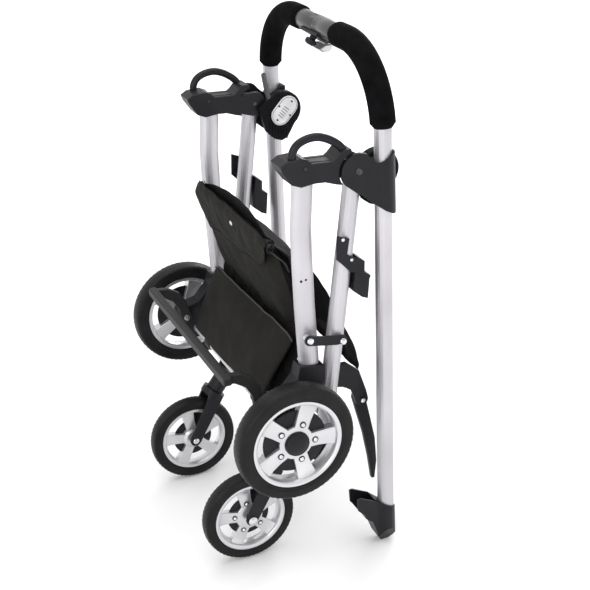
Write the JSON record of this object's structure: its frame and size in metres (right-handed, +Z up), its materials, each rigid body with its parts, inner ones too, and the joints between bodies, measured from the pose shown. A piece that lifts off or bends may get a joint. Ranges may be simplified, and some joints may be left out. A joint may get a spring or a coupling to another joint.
{
  "type": "folding trolley frame on wheels",
  "caption": "Folded trolley frame on wheels with a sliding U handle, swivel front wheels, rear wheels, foot brake bar and a folded fabric basket.",
  "frame": {"origin": "on the floor under the middle of the folded trolley's box", "axes": "+Z up, +X to the side with the storage hook, +Y to the side the handle is on"},
  "size_m": [0.6004, 0.3832, 0.9465],
  "materials": {
    "aluminium_tube": "satin",
    "black_plastic": "satin",
    "foam": "matte",
    "tyre": "satin",
    "rim_silver": "satin",
    "satin_silver": "satin",
    "steel": "polished",
    "fabric": "woven",
    "brake_grey": "textured",
    "cover_grey": "satin"
  },
  "bodies": {
    "front_frame": {"hub_bracket_left": "black_plastic", "hub_bracket_right": "black_plastic", "hub_pin_left": "steel", "hub_pin_right": "steel", "hub_drum_left": "black_plastic", "hub_drum_right": "black_plastic", "adapter_plate_left": "satin_silver", "adapter_plate_right": "satin_silver", "front_leg_left": "aluminium_tube", "front_leg_right": "aluminium_tube", "handle_latch_left": "black_plastic", "handle_latch_right": "black_plastic", "caster_housing_left": "black_plastic", "caster_housing_right": "black_plastic", "rest_bracket_left": "black_plastic", "rest_bracket_right": "black_plastic", "hook_pin": "steel", "front_cross_tube": "aluminium_tube", "basket_front": "fabric"},
    "rear_frame": {"rear_beam_left": "black_plastic", "rear_beam_right": "black_plastic", "carry_arc_left": "black_plastic", "carry_arc_right": "black_plastic", "rear_leg_left": "aluminium_tube", "rear_leg_right": "aluminium_tube", "rear_casting_left": "black_plastic", "rear_casting_right": "black_plastic", "brake_pin_left": "steel", "brake_pin_right": "steel", "hook_pivot": "steel", "rear_axle_tube": "aluminium_tube", "basket_flap": "fabric", "basket_panel": "fabric"},
    "handle": {"handle_tube": "aluminium_tube", "grip_left": "foam", "grip_right": "foam", "grip_centre_cover": "cover_grey", "handle_foot_left": "black_plastic", "handle_foot_right": "black_plastic", "release_housing": "black_plastic"},
    "release_knob": {"release_knob": "black_plastic"},
    "release_trigger": {"release_trigger": "satin_silver"},
    "caster_left": {"caster_fork_left": "black_plastic", "caster_axle_left": "steel"},
    "front_wheel_left": {"front_tyre_left": "tyre", "front_rim_left": "rim_silver"},
    "rear_wheel_left": {"rear_tyre_left": "tyre", "rear_rim_left": "rim_silver", "hub_cap_left": "black_plastic"},
    "rest_arm_left": {"rest_arm_left": "black_plastic"},
    "caster_right": {"caster_fork_right": "black_plastic", "caster_axle_right": "steel"},
    "front_wheel_right": {"front_tyre_right": "tyre", "front_rim_right": "rim_silver"},
    "rear_wheel_right": {"rear_tyre_right": "tyre", "rear_rim_right": "rim_silver", "hub_cap_right": "black_plastic"},
    "rest_arm_right": {"rest_arm_right": "black_plastic"},
    "brake_bar": {"brake_bar": "brake_grey"},
    "storage_hook": {"storage_hook": "black_plastic"}
  },
  "joints": [
    {"name": "rear_frame_fold", "type": "hinge", "parent": "front_frame", "child": "rear_frame", "pos_m": [0, 0.1005, 0.744], "axis": [-1, 0, 0], "range_deg": [0, 50]},
    {"name": "handle_slide", "type": "slide", "parent": "front_frame", "child": "handle", "axis": [0, 0.015, 0.9999], "range_m": [0, 0.42]},
    {"name": "release_knob_press", "type": "slide", "parent": "handle", "child": "release_knob", "axis": [0, 0.6018, 0.7986], "range_m": [0, 0.0025], "stiffness_N_per_m": 400, "springref_m": -0.005},
    {"name": "release_trigger_pull", "type": "slide", "parent": "handle", "child": "release_trigger", "axis": [0, 0, 1], "range_m": [0, 0.003], "stiffness_N_per_m": 400, "springref_m": -0.005},
    {"name": "caster_swivel_left", "type": "hinge", "parent": "front_frame", "child": "caster_left", "pos_m": [-0.151, -0.051, 0.1789], "axis": [0, 0.6428, 0.766], "continuous": true},
    {"name": "front_wheel_spin_left", "type": "hinge", "parent": "caster_left", "child": "front_wheel_left", "pos_m": [-0.151, -0.1035, 0.088], "axis": [1, 0, 0], "continuous": true},
    {"name": "rear_wheel_spin_left", "type": "hinge", "parent": "rear_frame", "child": "rear_wheel_left", "pos_m": [-0.28, -0.0555, 0.306], "axis": [1, 0, 0], "continuous": true},
    {"name": "rest_arm_swing_left", "type": "hinge", "parent": "front_frame", "child": "rest_arm_left", "pos_m": [-0.18425, 0.1125, 0.296], "axis": [1, 0, 0], "range_deg": [0, 60]},
    {"name": "caster_swivel_right", "type": "hinge", "parent": "front_frame", "child": "caster_right", "pos_m": [0.151, -0.051, 0.1789], "axis": [0, 0.6428, 0.766], "continuous": true},
    {"name": "front_wheel_spin_right", "type": "hinge", "parent": "caster_right", "child": "front_wheel_right", "pos_m": [0.151, -0.1035, 0.088], "axis": [1, 0, 0], "continuous": true},
    {"name": "rear_wheel_spin_right", "type": "hinge", "parent": "rear_frame", "child": "rear_wheel_right", "pos_m": [0.28, -0.0555, 0.306], "axis": [1, 0, 0], "continuous": true},
    {"name": "rest_arm_swing_right", "type": "hinge", "parent": "front_frame", "child": "rest_arm_right", "pos_m": [0.18425, 0.1125, 0.296], "axis": [1, 0, 0], "range_deg": [0, 60]},
    {"name": "brake_bar_swing", "type": "hinge", "parent": "rear_frame", "child": "brake_bar", "pos_m": [0, -0.0795, 0.34], "axis": [-1, 0, 0], "range_deg": [0, 14]},
    {"name": "storage_hook_swing", "type": "hinge", "parent": "rear_frame", "child": "storage_hook", "pos_m": [0.2412, -0.001, 0.464], "axis": [1, 0, 0], "range_deg": [0, 75]}
  ]
}
